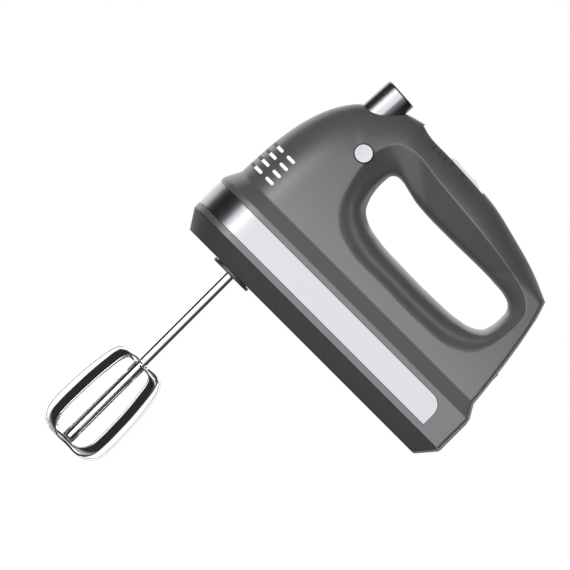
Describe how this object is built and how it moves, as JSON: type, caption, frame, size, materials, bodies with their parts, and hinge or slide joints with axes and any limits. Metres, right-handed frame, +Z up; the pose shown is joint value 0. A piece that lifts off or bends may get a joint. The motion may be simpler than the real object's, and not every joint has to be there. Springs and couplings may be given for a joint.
{
  "type": "hand mixer",
  "caption": "Electric hand mixer with a closed loop handle, twin strip beaters, speed slider, eject button and internal worm drive, standing on its heel.",
  "frame": {"origin": "centre of the bounding box on the surface that the mixer stands on, heel down", "axes": "+Z up, with the nose pointing up; -X along the beaters, which point away and slightly up; +Y towards the right-hand side of the mixer"},
  "size_m": [0.2914, 0.087, 0.2155],
  "materials": {
    "black_plastic": "moulded plastic",
    "board_green": "circuit board",
    "bronze": "sintered bronze",
    "capacitor_yellow": "film capacitor case",
    "carbon": "dull carbon",
    "copper_wire": "enamelled copper",
    "dark_plastic": "fine matte moulded surface",
    "grey_plastic": "fine matte moulded surface",
    "laminated_iron": "stacked lamination edges",
    "polished_steel": "mirror polished",
    "silver_trim": "satin silver",
    "spring_steel": "plain drawn steel",
    "white_nylon": "moulded nylon",
    "wire_blue": "insulated wire"
  },
  "bodies": {
    "casing": {"base_cover": "dark_plastic", "base_screw_1": "spring_steel", "base_screw_2": "spring_steel", "base_screw_3": "spring_steel", "base_screw_4": "spring_steel", "boost_switch": "black_plastic", "cord_grommet": "black_plastic", "eject_guide": "black_plastic", "eject_spring": "spring_steel", "front_bearing": "bronze", "gearbox_cover": "black_plastic", "gearbox_frame": "black_plastic", "housing_screw_1": "spring_steel", "housing_screw_2": "spring_steel", "housing_screw_3": "spring_steel", "left_brush_holder": "bronze", "left_carbon_brush": "carbon", "left_field_coil": "copper_wire", "left_housing": "grey_plastic", "left_socket_collar": "dark_plastic", "left_spindle_bush": "bronze", "middle_bearing": "bronze", "motor_chassis": "black_plastic", "motor_leads": "wire_blue", "motor_stator": "laminated_iron", "rear_bearing": "bronze", "right_brush_holder": "bronze", "right_carbon_brush": "carbon", "right_field_coil": "copper_wire", "right_housing": "grey_plastic", "right_socket_collar": "dark_plastic", "right_spindle_bush": "bronze", "speed_board": "board_green", "speed_switch": "black_plastic", "speed_track": "dark_plastic", "supply_leads": "wire_blue", "suppression_capacitor": "capacitor_yellow", "triac_heatsink": "laminated_iron", "trim_band": "silver_trim"},
    "rotor": {"rotor_shaft": "spring_steel", "armature_core": "laminated_iron", "armature_windings": "copper_wire", "commutator": "copper_wire", "cooling_fan": "white_nylon"},
    "left_drive": {"left_spindle": "spring_steel", "left_gear": "white_nylon"},
    "right_drive": {"right_spindle": "spring_steel", "right_gear": "white_nylon"},
    "left_beater": {"left_beater_shaft": "polished_steel", "left_beater_outer_loop": "polished_steel", "left_beater_inner_loop": "polished_steel"},
    "right_beater": {"right_beater_shaft": "polished_steel", "right_beater_outer_loop": "polished_steel", "right_beater_inner_loop": "polished_steel"},
    "ejector": {"eject_button": "silver_trim", "eject_yoke": "white_nylon"},
    "speed_slider": {"speed_knob": "silver_trim", "slider_carrier": "white_nylon"},
    "boost": {"boost_button": "silver_trim"}
  },
  "joints": [
    {"name": "motor_spin", "type": "hinge", "parent": "casing", "child": "rotor", "pos_m": [0.03065, 0, 0.16045], "axis": [-0.1952, 0, -0.9808], "continuous": true},
    {"name": "left_spindle_spin", "type": "hinge", "parent": "casing", "child": "left_drive", "pos_m": [-0.00269, -0.019, 0.16709], "axis": [0.9808, 0, -0.1952], "continuous": true},
    {"name": "right_spindle_spin", "type": "hinge", "parent": "casing", "child": "right_drive", "pos_m": [-0.00269, 0.019, 0.16709], "axis": [0.9808, 0, -0.1952], "continuous": true},
    {"name": "left_beater_pull", "type": "slide", "parent": "left_drive", "child": "left_beater", "axis": [-0.9808, 0, 0.1952], "range_m": [0, 0.048]},
    {"name": "right_beater_pull", "type": "slide", "parent": "right_drive", "child": "right_beater", "axis": [-0.9808, 0, 0.1952], "range_m": [0, 0.048]},
    {"name": "eject_press", "type": "slide", "parent": "casing", "child": "ejector", "axis": [-0.9679, 0, 0.2514], "range_m": [0, 0.0057], "stiffness_N_per_m": 800, "deforming": ["eject_spring"]},
    {"name": "speed_slide", "type": "slide", "parent": "casing", "child": "speed_slider", "axis": [0.1952, 0, 0.9808], "range_m": [0, 0.0235]},
    {"name": "boost_press", "type": "slide", "parent": "casing", "child": "boost", "axis": [0, 1, 0], "range_m": [0, 0.002], "stiffness_N_per_m": 1000}
  ],
  "couplings": [
    {"joint": "left_spindle_spin", "follows": "motor_spin", "ratio": 0.066667},
    {"joint": "right_spindle_spin", "follows": "motor_spin", "ratio": -0.066667}
  ]
}
